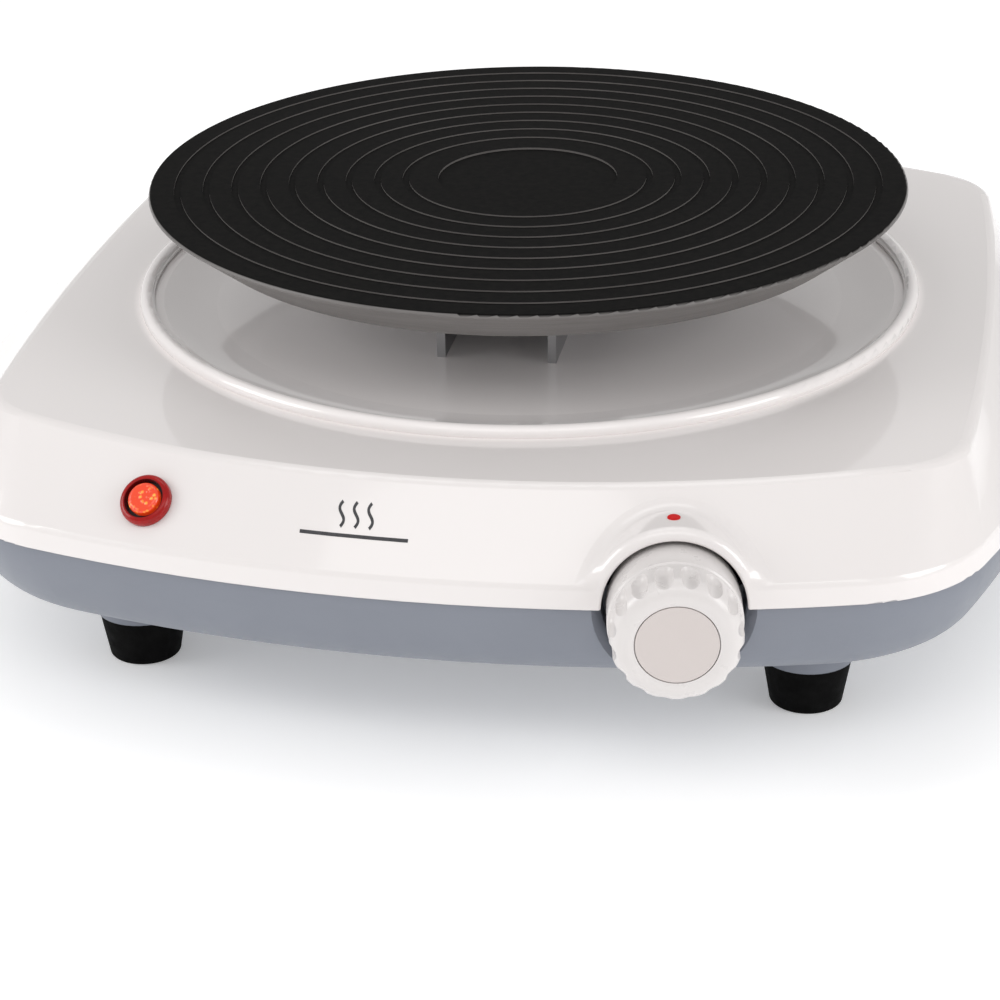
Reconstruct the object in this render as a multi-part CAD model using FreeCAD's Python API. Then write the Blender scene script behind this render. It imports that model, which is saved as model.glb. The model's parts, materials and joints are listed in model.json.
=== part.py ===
"""Portable single hot plate: a cast-iron plate on an enamelled steel housing over a plastic base.

Units are millimetres. The plate's axis is Z, the front is -Y, and the origin is on that axis at
the level of the surface that the rubber feet stand on. One STEP file is written for each piece.
"""

import FreeCAD, Part
import math
import os

V = FreeCAD.Vector
UP = V(0, 0, 1)
FRONT = V(0, -1, 0)
BACK = V(0, 1, 0)
ORIGIN = V(0, 0, 0)
round_share = 1 - math.sqrt(0.5)
over = 1.0

# ---- top housing: outline at the seam, outline of the terrace, heights ----
body_half = 135.0
front_arc_r = 329.0
side_arc_r = 280.0
corner_r = 36.6
lip_h = 5.2
lip_lean = 0.6
housing_rise = 21.8
terrace_inset_x = 20.8
terrace_inset_y = 16.0
ridge_front_r = 240.0
ridge_side_r = 1400.0
ridge_corner_r = 20.0
steel = 1.4
seam_round = 0.6
lip_round = 2.0
ridge_round = 3.0

# ---- round bead and dished spill bowl under the plate ----
bead_r = 95.0
bead_roll = 1.8
bead_rise = 0.9
bowl_depth = 2.4
bowl_slope_w = 15.6
bowl_rim_inset = 1.4
bowl_rim_rise = 3.6

# ---- knob opening, hood and well ----
knob_x = 52.9
arch_r = 15.5
arch_round = 0.5
hood_r = 18.2
hood_blend = 5.0
hood_l = 20.0
scoop_r = 18.9
scoop_l = 6.0
scoop_start = -1.3
well_wall = 2.0
well_depth = 14.7
well_start = 0.7
well_hole_r = 9.0

# ---- base tray ----
boss_h = 10.8
base_wall = 2.0
base_drop = 20.0
base_corner_extra = 2.5
shadow_gap = 0.8
rim_h = 3.0
rim_skirt = 4.0
rim_wall = 1.5
rim_gap = 0.35
vent_count = 7
vent_len = 46.0
vent_w = 3.0
vent_pitch = 8.0

# ---- feet ----
foot_inset_x = 56.8
foot_inset_y = 48.2
foot_h = 11.8
foot_top_r = 10.3
foot_tip_r = 8.4
foot_tip_round = 0.9
foot_recess = 5.3
foot_rim_w = 2.4
boss_tip_r = 10.8
boss_root_r = 11.8
foot_spigot_r = 5.0
foot_spigot_h = 4.0
foot_spigot_gap = 0.1
foot_bore_gap = 0.2
foot_screw_grip = 8.0
pilot_extra = 4.0

# ---- housing screws and posts ----
post_inset_x = 35.0
post_y = 60.0
post_r = 4.2
sleeve_wall = 1.0
post_end_drop = 6.6
post_seat_t = 5.0
post_bite = 14.0
screw_r = 1.9
screw_gap = 0.3
screw_head_r = 3.6
screw_head_h = 2.6
head_gap = 0.4

# ---- cooking plate ----
plate_gap = 18.4
plate_h = 9.4
plate_rim_r = 93.0
plate_taper = 11.3
plate_edge_round = 0.8
pocket_in_r = 24.0
pocket_edge_w = 8.7
pocket_depth = 6.4
groove_count = 9
groove_first_gap = 8.0
groove_last_gap = 7.0
groove_w = 1.6
groove_depth = 0.35
dimple_r = 22.0
dimple_depth = 0.5
cover_t = 0.8
cover_lap = 3.0

# ---- heating element ----
element_r = 3.0
element_outer_gap = 16.0
element_cover_gap = 0.2
element_gap_x = 9.0
element_cold_r = 1.8
tail_above_shield = 3.5
tail_gap = 0.8
bush_r = 4.1
bush_gap = 0.3
bush_head_r = 5.8
bush_head_h = 2.0
bush_body_l = 8.0
bush_below = 2.5
shield_hole_r = 6.0

# ---- plate support channel and centre stud ----
channel_half_w = 14.3
channel_end_gap = 8.0
channel_t = 2.0
window_end_gap = 20.0
window_half_l = 7.0
window_edge = 3.0
stud_r = 3.0
stud_below_shield = 9.0
stud_top_gap = 0.4
stud_chamfer = 0.6
stud_clear = 0.25
spacer_wall = 2.6
shield_drop = 10.0
shield_margin = 4.0
shield_t = 1.0
shield_rim = 5.0
washer_r = 9.0
washer_t = 1.2
nut_af = 10.0
nut_h = 5.0

# ---- thermostat ----
bracket_gap = 7.95
bracket_t = 1.5
bracket_half_w = 19.0
bracket_rise = 14.9
bracket_foot_l = 18.0
bracket_screw_share = 0.6
bracket_screw_inset = 5.0
thermostat_half_w = 16.0
thermostat_half_h = 12.5
thermostat_l = 20.0
thermostat_round = 2.0
bush_thread_r = 4.5
bush_thread_l = 5.5
bush_thread_gap = 0.2
panel_nut_af = 13.0
panel_nut_h = 2.4
spindle_r = 3.0
spindle_flat = 2.2
spindle_clear = 0.05
spindle_back = 10.0
pin_r = 1.5
pin_proud = 1.0
pin_travel = 0.6
leaf_t = 0.5
leaf_w = 6.0
leaf_above = 8.0
leaf_foot_up = 1.0
blade_x = 11.0
blade_w = 6.3
blade_l = 8.0
blade_t = 0.8
blade_below_shield = 8.0
tapping_r = 1.5
tapping_head_r = 2.8
tapping_head_h = 2.0
tapping_depth = 1.6
tapping_slot = 0.9
recess_half_l = 2.0
recess_half_w = 0.4
recess_depth = 1.2

# ---- thermal cut-out under the heat shield ----
cutout_x = 40.0
cutout_y = -10.0
cutout_r = 7.5
cutout_h = 9.0
cutout_cap_r = 9.0
cutout_cap_h = 2.0
cutout_blade_l = 6.0

# ---- control knob: lengths run forwards from its back face ----
knob_r = 14.4
knob_sink = 5.15
knob_l = 19.9
knob_skirt_l = 10.1
knob_shoulder_l = 16.7
knob_neck_step = 0.35
knob_back_chamfer = 0.6
knob_dome_across = 0.78
knob_dome_along = 0.72
knob_face_r = 9.3
knob_face_edge = 0.3
knob_wall = 3.0
knob_front_wall = 6.0
lobe_count = 16
lobe_r = 2.3
lobe_bite = 1.6
lobe_start = 1.0
hub_r = 5.2
hub_clear_l = 1.5
face_disc_t = 0.8
face_disc_gap = 0.25
clip_t = 0.6
clip_w = 4.0
clip_start = 1.0
clip_slot_half = 1.2

# ---- pilot lamp ----
lamp_x = -64.5
lamp_rise = 7.5
lamp_flange_r = 5.9
lamp_flange_h = 2.0
lamp_flange_round = 1.2
lamp_barrel_r = 4.5
lamp_barrel_l = 13.0
lamp_hole_gap = 0.2
lamp_lens_r = 3.7
lamp_lens_h = 0.6
lamp_lens_round = 1.1
lamp_groove_w = 0.8
lamp_groove_depth = 1.3
lamp_bulb_r = 2.2
lamp_bulb_l = 9.0
lamp_bulb_gap = 0.6
lamp_bulb_back = 0.5
lamp_bulb_round = 1.5
lamp_clip_r = 6.6
lamp_clip_t = 0.8
lamp_clip_gap = 0.6
dot_r = 1.4
dot_back = 8.2
dot_proud = 0.15

# ---- cord gland, terminal block, leads ----
gland_x = 0.0
gland_share = 0.48
gland_seat_inset = 0.6
gland_bore_r = 3.7
gland_barrel_r = 6.0
gland_flange_r = 8.5
gland_flange_t = 2.0
gland_nose_tip_r = 5.2
gland_nose_l = 10.8
gland_inside = 12.0
block_x = -32.0
block_inset_y = 51.0
block_ways = 4
block_pitch = 8.0
block_w = 16.0
block_h = 13.0
block_way_z = 6.0
block_way_r = 2.0
block_way_l = 4.0
block_screw_r = 1.9
block_screw_step = 4.0
block_screw_depth = 3.0
block_groove_half = 0.5
block_groove_depth = 4.0
lead_r = 1.4
lead_bend = 6.0
tight_bend = 5.0
thin_lead_r = 0.7
thin_lead_bend = 4.0
thin_lead_gap = 1.1
live_ahead = 14.0
cutout_ahead = 32.0
cutout_before = 18.0
lamp_live_back = 11.0
lamp_live_side = 18.0
lamp_live_up = 11.5
lamp_neutral_back = 8.0
lamp_neutral_run = 18.0
lamp_neutral_side = 2.0
lamp_neutral_before = 24.0
tag_r = 6.0
tag_l = 16.0
tag_w = 5.0
tag_t = 0.8

# ---- heights ----
base_low_z = foot_h + boss_h
base_floor_z = base_low_z + base_wall
seam_z = base_low_z + base_drop
lip_top_z = seam_z + lip_h
deck_z = seam_z + housing_rise
bowl_floor_z = deck_z - bowl_depth
bowl_under_z = bowl_floor_z - steel
plate_low_z = deck_z + plate_gap
plate_top_z = plate_low_z + plate_h
web_top_z = plate_low_z - cover_t
element_z = plate_low_z + pocket_depth - element_r - element_cover_gap
shield_z = bowl_floor_z - shield_drop
stud_low_z = shield_z - stud_below_shield
element_tail_z = shield_z + tail_above_shield
blade_z = shield_z - blade_below_shield
post_split_z = seam_z - post_end_drop
screw_seat_z = post_split_z - post_seat_t
bracket_top_z = seam_z + bracket_rise
lamp_z = lip_top_z + lamp_rise
gland_z = seam_z - gland_share * base_drop

# ---- plan sizes and places ----
ridge_half_x = body_half - terrace_inset_x
ridge_half_y = body_half - terrace_inset_y
foot_x = body_half - foot_inset_x
foot_y = body_half - foot_inset_y
post_x = body_half - post_inset_x
block_y = body_half - block_inset_y
gland_seat_y = body_half - gland_seat_inset
bowl_rim_r = bead_r - bowl_rim_inset
bowl_flat_r = bowl_rim_r - bowl_slope_w
shield_r = bowl_flat_r + shield_margin
plate_low_r = plate_rim_r - plate_taper
pocket_out_r = plate_low_r - pocket_edge_w
cover_r = pocket_out_r + cover_lap
element_ring_r = pocket_out_r - element_outer_gap - element_r
element_end_y = math.sqrt(element_ring_r ** 2 - element_gap_x ** 2)
channel_half_l = element_ring_r - channel_end_gap
window_y = channel_half_l - window_end_gap
groove_first_r = dimple_r + groove_first_gap
groove_last_r = plate_rim_r - groove_last_gap
groove_pitch = (groove_last_r - groove_first_r) / (groove_count - 1)

# ---- the knob's own frame: its axis is -Y, and y is 0 on the lip's face at the seam ----
knob_heading = math.asin(knob_x / front_arc_r)
front_centre_y = front_arc_r - body_half
knob_front = V(knob_x, front_centre_y - front_arc_r * math.cos(knob_heading), 0)
knob_place = FreeCAD.Placement(knob_front, FreeCAD.Rotation(UP, math.degrees(knob_heading)))
knob_face_y = knob_sink - knob_l
bracket_y = well_depth + bracket_gap
thermostat_front_y = bracket_y + bracket_t
thermostat_back_y = thermostat_front_y + thermostat_l
spindle_end_y = thermostat_front_y + spindle_back
spindle_tip_y = knob_face_y + knob_front_wall
pin_l = thermostat_l - spindle_back + pin_proud


def outline(half_x, half_y, front_r, side_r, corner, z):
    """Closed wire of eight tangent arcs: bulging sides and round corners."""
    side_c = V(half_x - side_r, 0, z)
    front_c = V(0, front_r - half_y, z)
    reach_side = side_r - corner
    reach_front = front_r - corner
    span = front_c.sub(side_c)
    gap = span.Length
    along = (reach_side ** 2 - reach_front ** 2 + gap ** 2) / (2 * gap)
    off = math.sqrt(reach_side ** 2 - along ** 2)
    unit = span.multiply(1 / gap)
    corner_c = side_c.add(V(unit.x * along + unit.y * off, unit.y * along - unit.x * off, 0))
    to_side = corner_c.sub(side_c).normalize()
    to_front = corner_c.sub(front_c).normalize()
    on_side = corner_c.add(V(to_side.x * corner, to_side.y * corner, 0))
    on_front = corner_c.add(V(to_front.x * corner, to_front.y * corner, 0))
    middle = to_side.add(to_front).normalize()
    on_corner = corner_c.add(V(middle.x * corner, middle.y * corner, 0))
    edges = []
    signs = [(1, 1), (-1, 1), (-1, -1), (1, -1)]
    side_mid = V(half_x, 0, z)
    front_mid = V(0, -half_y, z)

    def flip(point, sx, sy):
        return V(point.x * sx, point.y * sy, point.z)

    edges.append(arc(flip(on_side, 1, -1), side_mid, on_side))
    edges.append(arc(on_side, on_corner, on_front))
    edges.append(arc(on_front, front_mid, flip(on_front, -1, 1)))
    edges.append(arc(flip(on_front, -1, 1), flip(on_corner, -1, 1), flip(on_side, -1, 1)))
    edges.append(arc(flip(on_side, -1, 1), flip(side_mid, -1, 1), flip(on_side, -1, -1)))
    edges.append(arc(flip(on_side, -1, -1), flip(on_corner, -1, -1), flip(on_front, -1, -1)))
    edges.append(arc(flip(on_front, -1, -1), flip(front_mid, 1, -1), flip(on_front, 1, -1)))
    edges.append(arc(flip(on_front, 1, -1), flip(on_corner, 1, -1), flip(on_side, 1, -1)))
    return Part.Wire(edges)


def arc(start, middle, end):
    return Part.Arc(start, middle, end).toShape()


def body_outline(inset, z, corner=corner_r):
    """The housing's outline at the seam, moved inwards."""
    half = body_half - inset
    return outline(half, half, front_arc_r - inset, side_arc_r - inset, corner - inset, z)


def ridge_outline(inset, z):
    """The outline of the raised terrace, moved inwards."""
    half_x = ridge_half_x - inset
    half_y = ridge_half_y - inset
    front_r = ridge_front_r - inset
    side_r = ridge_side_r - inset
    return outline(half_x, half_y, front_r, side_r, ridge_corner_r - inset, z)


def cyl(radius, height, at, axis=UP):
    return Part.makeCylinder(radius, height, at, axis)


def cone(radius_0, radius_1, height, at, axis=UP):
    return Part.makeCone(radius_0, radius_1, height, at, axis)


def tube(outer, inner, height, at, axis=UP):
    return cyl(outer, height, at, axis).cut(cyl(inner, height, at, axis))


def box(x0, y0, z0, x1, y1, z1):
    return Part.makeBox(x1 - x0, y1 - y0, z1 - z0, V(x0, y0, z0))


def turned(edges):
    """Solid of revolution about Z from edges drawn in the XZ plane."""
    return Part.Face(Part.Wire(edges)).revolve(ORIGIN, UP, 360)


def line(x0, z0, x1, z1):
    return Part.makeLine(V(x0, 0, z0), V(x1, 0, z1))


def fillet(shape, radii):
    """Round edges, each with its own radius: radii holds pairs of an edge and a radius."""
    document = FreeCAD.newDocument()
    base = document.addObject("Part::Feature", "base")
    base.Shape = shape
    rounded = document.addObject("Part::Fillet", "rounded")
    rounded.Base = base
    rows = []
    for edge, radius in radii:
        number = [edge.isSame(other) for other in shape.Edges].index(True) + 1
        rows.append((number, radius, radius))
    rounded.Edges = rows
    document.recompute()
    result = rounded.Shape.copy()
    FreeCAD.closeDocument(document.Name)
    return result


def at_knob(shape):
    """Turn a piece that was drawn in the knob's own frame to face out from the curved front."""
    moved = shape.copy()
    moved.Placement = knob_place.multiply(shape.Placement)
    return moved


def point_at_knob(x, y, z):
    return knob_place.multVec(V(x, y, z))


def depth_cyl(radius, length, y):
    """Cylinder on the knob's axis, in the knob's own frame, running inwards from y."""
    return cyl(radius, length, V(0, y, seam_z), BACK)


def fuse(shapes):
    return shapes[0].multiFuse(shapes[1:]).removeSplitter()


def hexagon(across_flats, height, at, axis=UP):
    """Hexagonal prism whose first corner is on the local X axis."""
    radius = across_flats / math.sqrt(3)
    points = []
    for k in range(7):
        angle = math.radians(60 * k)
        points.append(V(radius * math.cos(angle), radius * math.sin(angle), 0))
    prism = Part.Face(Part.makePolygon(points)).extrude(V(0, 0, height))
    prism.Placement = FreeCAD.Placement(at, FreeCAD.Rotation(UP, axis))
    return prism


def wire_run(points, radius, bend):
    """Round lead along straight runs that are joined by tangent arcs."""
    edges = []
    last = points[0]
    for before, here, after in zip(points, points[1:], points[2:]):
        back = before.sub(here).normalize()
        ahead = after.sub(here).normalize()
        half = math.acos(max(-1.0, min(1.0, back.dot(ahead)))) / 2
        trim = bend / math.tan(half)
        enter = here.add(V(back).multiply(trim))
        leave = here.add(V(ahead).multiply(trim))
        inward = back.add(ahead).normalize()
        centre_gap = bend / math.sin(half) - bend
        middle = here.add(V(inward).multiply(centre_gap))
        edges.append(Part.makeLine(last, enter))
        edges.append(arc(enter, middle, leave))
        last = leave
    edges.append(Part.makeLine(last, points[-1]))
    spine = Part.Wire(edges)
    heading = points[1].sub(points[0]).normalize()
    section = Part.Wire([Part.makeCircle(radius, points[0], heading)])
    return spine.makePipeShell([section], True, False)


def four_corners(x, y):
    return [(sx * x, sy * y) for sx in (1, -1) for sy in (1, -1)]


def apron_y(x, z):
    """Front apron surface: straight from the lip's top to the terrace's edge."""
    rise = (z - lip_top_z) / (deck_z - lip_top_z)
    lip_y = -(body_half - lip_lean - x ** 2 / (2 * front_arc_r))
    ridge_y = -(ridge_half_y - x ** 2 / (2 * ridge_front_r))
    return lip_y + (ridge_y - lip_y) * rise


def apron_normal(x, z):
    step = 0.5
    slope_x = (apron_y(x + step, z) - apron_y(x - step, z)) / (2 * step)
    slope_z = (apron_y(x, z + step) - apron_y(x, z - step)) / (2 * step)
    return V(slope_x, -1, slope_z).normalize()


lamp_point = V(lamp_x, apron_y(lamp_x, lamp_z), lamp_z)
lamp_axis = apron_normal(lamp_x, lamp_z)


def along_lamp(distance):
    return lamp_point.add(V(lamp_axis).multiply(distance))


def edges_at(shape, z):
    """Edges that lie in one level plane."""
    found = []
    for edge in shape.Edges:
        low = edge.BoundBox.ZMin
        high = edge.BoundBox.ZMax
        if abs(low - z) < 0.01 and abs(high - z) < 0.01:
            found.append(edge)
    return found


def bowl_profile(offset):
    """Dished bowl: flat floor, then an arc up to the bead, moved down by offset."""
    run = bowl_rim_r - bowl_flat_r
    radius = (run ** 2 + bowl_rim_rise ** 2) / (2 * bowl_rim_rise)
    sweep = math.asin(run / radius)
    full = radius + offset
    centre_z = bowl_floor_z + radius
    mid_x = bowl_flat_r + full * math.sin(sweep / 2)
    mid_z = centre_z - full * math.cos(sweep / 2)
    end_x = bowl_flat_r + full * math.sin(sweep)
    end_z = centre_z - full * math.cos(sweep)
    top_z = plate_low_z
    low_z = bowl_floor_z - offset
    return [
        line(0, low_z, bowl_flat_r, low_z),
        arc(V(bowl_flat_r, 0, low_z), V(mid_x, 0, mid_z), V(end_x, 0, end_z)),
        line(end_x, end_z, end_x, top_z),
        line(end_x, top_z, 0, top_z),
        line(0, top_z, 0, low_z),
    ]


def front_cone(inset):
    """Solid bounded by the leaning front face, moved inwards: a cone about the front's centre."""
    height = 6 * lip_h
    top_r = front_arc_r - inset - lip_lean * height / lip_h
    return cone(front_arc_r - inset, top_r, height, V(0, front_centre_y, seam_z))


def hood_form(radius, length, inset):
    """Half-round hood over the knob, cut off in front by the leaning front face."""
    barrel = at_knob(depth_cyl(radius, length + hood_l, -hood_l))
    return barrel.common(front_cone(inset))


def on_front_face(edge):
    """Whether an edge lies in the leaning front face."""
    span = edge.LastParameter - edge.FirstParameter
    for share in (0.1, 0.5, 0.9):
        at = edge.valueAt(edge.FirstParameter + share * span)
        radius = math.hypot(at.x, at.y - front_centre_y)
        face_r = front_arc_r - lip_lean * (at.z - seam_z) / lip_h
        if at.y > 0 or abs(radius - face_r) > 0.02:
            return False
    return True


def on_outline(edge):
    """Whether an edge runs along the outside of the housing, away from the knob's opening."""
    under_knob = point_at_knob(0, 0, seam_z)
    return edge.CenterOfMass.sub(under_knob).Length > hood_r


def rounded_housing():
    """Outer form of the housing with its hood: terrace, lip and hood edges all rounded."""
    lower = body_outline(0, seam_z)
    middle = body_outline(lip_lean, lip_top_z)
    upper = ridge_outline(0, deck_z)
    form = Part.makeLoft([lower, middle, upper], True, True)
    form = form.fuse(hood_form(hood_r, hood_l, 0)).removeSplitter()
    radii = [(edge, ridge_round) for edge in edges_at(form, deck_z)]
    radii += [(edge, seam_round) for edge in edges_at(form, seam_z) if on_outline(edge)]
    hood_side = [f for f in form.Faces if f.Surface.TypeId == "Part::GeomCylinder"][0]
    for edge in hood_side.Edges:
        if not on_front_face(edge):
            radii.append((edge, hood_blend))
    under_hood = point_at_knob(0, 0, lip_top_z)
    for edge in form.Edges:
        level = abs(edge.BoundBox.ZMin - lip_top_z) < 0.01 and abs(edge.BoundBox.ZMax - lip_top_z) < 0.01
        inside = edge.CenterOfMass.sub(under_hood).Length < hood_r / 2
        if level and not inside:
            radii.append((edge, lip_round))
        elif on_front_face(edge) and edge.BoundBox.ZMax > lip_top_z + over:
            radii.append((edge, lip_round))
    return fillet(form, radii)


def make_top_housing():
    outer = rounded_housing()
    bead_c = V(0, 0, deck_z + bead_rise)
    outer = outer.fuse(Part.makeTorus(bead_r, bead_roll, bead_c))

    inner_low = body_outline(steel, seam_z - over)
    inner_mid = body_outline(lip_lean + steel, lip_top_z - 0.4 * steel)
    inner_top = ridge_outline(steel, deck_z - steel)
    inner = Part.makeLoft([inner_low, inner_mid, inner_top], True, True)
    inner = inner.fuse(hood_form(hood_r - steel, hood_l - 2 * steel, steel))
    inner = inner.cut(turned(bowl_profile(steel)))
    housing = outer.cut(inner)
    housing = housing.cut(turned(bowl_profile(0)))
    housing = housing.cut(at_knob(depth_cyl(arch_r, hood_l / 2, -hood_l / 4)))
    arch_top_z = seam_z + arch_r
    radii = []
    for edge in housing.Edges:
        if on_front_face(edge) and abs(edge.BoundBox.ZMax - arch_top_z) < over:
            radii.append((edge, arch_round))
    housing = fillet(housing, radii)
    for x, y in four_corners(post_x, post_y):
        post = cyl(post_r, deck_z - steel / 2 - post_split_z, V(x, y, post_split_z))
        housing = housing.fuse(post)
        housing = housing.cut(cyl(screw_r, post_bite + 2 * over, V(x, y, post_split_z - over)))
    hole_z = bowl_under_z - over
    hole_l = steel + 2 * over
    housing = housing.cut(cyl(stud_r + stud_clear, hole_l, V(0, 0, hole_z)))
    housing = tail_holes(housing, bush_r + bush_gap, hole_z, hole_l)
    lamp_hole_l = lamp_barrel_l + lamp_flange_h
    lamp_hole = cyl(lamp_barrel_r + lamp_hole_gap, lamp_hole_l, along_lamp(-lamp_barrel_l), lamp_axis)
    return housing.cut(lamp_hole).removeSplitter()


def base_level(depth, inset, extra, lift):
    """One section of the base tray: depth below the seam, inset from the seam outline."""
    half = body_half - inset - extra
    corner = corner_r + base_corner_extra - extra
    front_r = front_arc_r - extra
    side_r = side_arc_r - extra
    return outline(half, half, front_r, side_r, corner, seam_z - depth + lift)


def base_form(extra, lift):
    """The tray's outer form, or its inner form with extra inset and a lifted floor."""
    share_inset = [
        (0.0, shadow_gap),
        (0.34, 1.8),
        (0.62, 4.2),
        (0.84, 7.2),
        (0.95, 10.5),
        (1.0, 15.0),
    ]
    levels = []
    for share, inset in share_inset:
        levels.append(base_level(share * base_drop, inset, extra, lift * share))
    return Part.makeLoft(levels, True, False)


def rim_ring():
    """Upstanding rim of the tray that locates inside the housing's lip."""
    inset = steel + rim_gap + lip_lean * rim_h / lip_h
    low = seam_z - rim_skirt
    high = seam_z + rim_h
    outside = Part.makeLoft([body_outline(inset, low), body_outline(inset, high)], True, True)
    within = inset + rim_wall
    inside = Part.makeLoft([body_outline(within, low), body_outline(within, high)], True, True)
    return outside.cut(inside)


def make_base_tray():
    parts = [base_form(0, 0).cut(base_form(base_wall, base_wall)), rim_ring()]
    for x, y in four_corners(foot_x, foot_y):
        parts.append(cone(boss_tip_r, boss_root_r, base_floor_z - foot_h, V(x, y, foot_h)))
    sleeve_z = base_low_z + base_wall / 4
    for x, y in four_corners(post_x, post_y):
        parts.append(cyl(post_r + sleeve_wall, post_split_z - sleeve_z, V(x, y, sleeve_z)))
    well = depth_cyl(arch_r + well_wall, well_depth - well_start, well_start)
    wide = 2 * arch_r
    below = box(-wide, -wide, 0, wide, wide, seam_z)
    parts.append(at_knob(well.common(below)))
    tray = fuse(parts)
    opening = depth_cyl(arch_r, hood_l + well_depth - well_wall, -hood_l)
    scoop = cone(scoop_r, arch_r, scoop_l, V(0, scoop_start, seam_z), BACK)
    back_hole = depth_cyl(well_hole_r, 2 * well_wall, well_depth - 1.5 * well_wall)
    for shape in (opening, scoop, back_hole):
        tray = tray.cut(at_knob(shape))
    for x, y in four_corners(foot_x, foot_y):
        socket_h = foot_spigot_h + foot_spigot_gap
        tray = tray.cut(cyl(foot_spigot_r + foot_spigot_gap, socket_h, V(x, y, foot_h)))
        tray = tray.cut(cyl(screw_r, foot_screw_grip + pilot_extra, V(x, y, foot_h)))
    for x, y in four_corners(post_x, post_y):
        below = V(x, y, base_low_z - over)
        tray = tray.cut(cyl(screw_r + screw_gap, base_drop, below))
        tray = tray.cut(cyl(screw_head_r + head_gap, screw_seat_z - below.z, below))
    for x, y in bracket_screw_places():
        tray = tray.cut(cyl(tapping_r, 2 * tapping_depth, V(x, y, base_floor_z - tapping_depth)))
    half_l = vent_len / 2
    half_w = vent_w / 2
    for k in range(vent_count):
        y = (k - (vent_count - 1) / 2) * vent_pitch
        slot = box(-half_l, y - half_w, base_low_z - over, half_l, y + half_w, base_floor_z + over)
        tray = tray.cut(slot)
    inner_end = V(gland_x, gland_seat_y - gland_inside, gland_z)
    gland_hole = cyl(gland_barrel_r, 2 * gland_inside, inner_end, BACK)
    return tray.cut(gland_hole).removeSplitter()


def make_foot(x, y):
    """Rubber foot: tapered, hollow below round its screw, with a spigot into the boss."""
    bore = screw_r + foot_bore_gap
    inner = foot_tip_r - foot_rim_w
    tread = foot_tip_r - foot_tip_round
    top = foot_h + foot_spigot_h
    bulge = round_share * foot_tip_round
    profile = [
        line(bore, foot_recess, inner, foot_recess),
        line(inner, foot_recess, inner, 0),
        line(inner, 0, tread, 0),
        arc(V(tread, 0, 0), V(foot_tip_r - bulge, 0, bulge), V(foot_tip_r, 0, foot_tip_round)),
        line(foot_tip_r, foot_tip_round, foot_top_r, foot_h),
        line(foot_top_r, foot_h, foot_spigot_r, foot_h),
        line(foot_spigot_r, foot_h, foot_spigot_r, top),
        line(foot_spigot_r, top, bore, top),
        line(bore, top, bore, foot_recess),
    ]
    foot = turned(profile)
    foot.translate(V(x, y, 0))
    return foot


def pan_screw(x, y, seat_z, length):
    """Pan-head screw pointing up from its seat, with a cross recess below."""
    head_z = seat_z - screw_head_h
    head = cyl(screw_head_r, screw_head_h, V(x, y, head_z))
    head = head.makeFillet(screw_head_h / 3, edges_at(head, head_z))
    screw = head.fuse(cyl(screw_r, length, V(x, y, seat_z)))
    high = head_z + recess_depth
    long = recess_half_l
    thin = recess_half_w
    low = head_z - over
    screw = screw.cut(box(x - long, y - thin, low, x + long, y + thin, high))
    return screw.cut(box(x - thin, y - long, low, x + thin, y + long, high))


def make_foot_screws():
    length = foot_h + foot_screw_grip - foot_recess
    screws = [pan_screw(x, y, foot_recess, length) for x, y in four_corners(foot_x, foot_y)]
    return Part.makeCompound(screws)


def make_housing_screws():
    length = post_seat_t + post_bite
    screws = [pan_screw(x, y, screw_seat_z, length) for x, y in four_corners(post_x, post_y)]
    return Part.makeCompound(screws)


def make_hot_plate():
    top = plate_top_z
    side_top = top - plate_edge_round
    flat_r = plate_rim_r - plate_edge_round
    bulge = round_share * plate_edge_round
    profile = [
        line(0, plate_low_z, plate_low_r, plate_low_z),
        line(plate_low_r, plate_low_z, plate_rim_r, side_top),
        arc(V(plate_rim_r, 0, side_top), V(plate_rim_r - bulge, 0, top - bulge), V(flat_r, 0, top)),
        line(flat_r, top, 0, top),
        line(0, top, 0, plate_low_z),
    ]
    plate = turned(profile)
    pocket = tube(pocket_out_r, pocket_in_r, pocket_depth, V(0, 0, plate_low_z))
    plate = plate.cut(pocket)
    groove_at = V(0, 0, top - groove_depth)
    half_w = groove_w / 2
    for k in range(groove_count):
        radius = groove_first_r + k * groove_pitch
        plate = plate.cut(tube(radius + half_w, radius - half_w, 2 * groove_depth, groove_at))
    plate = plate.cut(cyl(dimple_r, 2 * dimple_depth, V(0, 0, top - dimple_depth)))
    return plate.cut(cyl(stud_r, pocket_depth, V(0, 0, plate_low_z)))


def make_heating_element():
    """Sheathed ring, open at the back, with a cold tail down from each end."""
    start = math.degrees(math.asin(element_gap_x / element_ring_r))
    ring = Part.makeTorus(element_ring_r, element_r, V(0, 0, element_z), UP, -180, 180, 360 - 2 * start)
    ring.rotate(ORIGIN, UP, 90 + start)
    parts = [ring]
    for side in (1, -1):
        at = V(side * element_gap_x, element_end_y, element_z)
        parts.append(Part.makeSphere(element_r, at))
        parts.append(cyl(element_cold_r, element_z - element_tail_z, V(at.x, at.y, element_tail_z)))
    return fuse(parts)


def make_element_filler(element):
    gap = element_cover_gap
    filler = tube(pocket_out_r - gap, pocket_in_r + gap, pocket_depth, V(0, 0, plate_low_z))
    return filler.cut(element)


def tail_holes(shape, radius, z, height):
    for side in (1, -1):
        shape = shape.cut(cyl(radius, height, V(side * element_gap_x, element_end_y, z)))
    return shape


def make_plate_cover():
    cover = tube(cover_r, stud_r + stud_clear, cover_t, V(0, 0, web_top_z))
    return tail_holes(cover, element_cold_r + tail_gap, web_top_z - over, cover_t + 2 * over)


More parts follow.
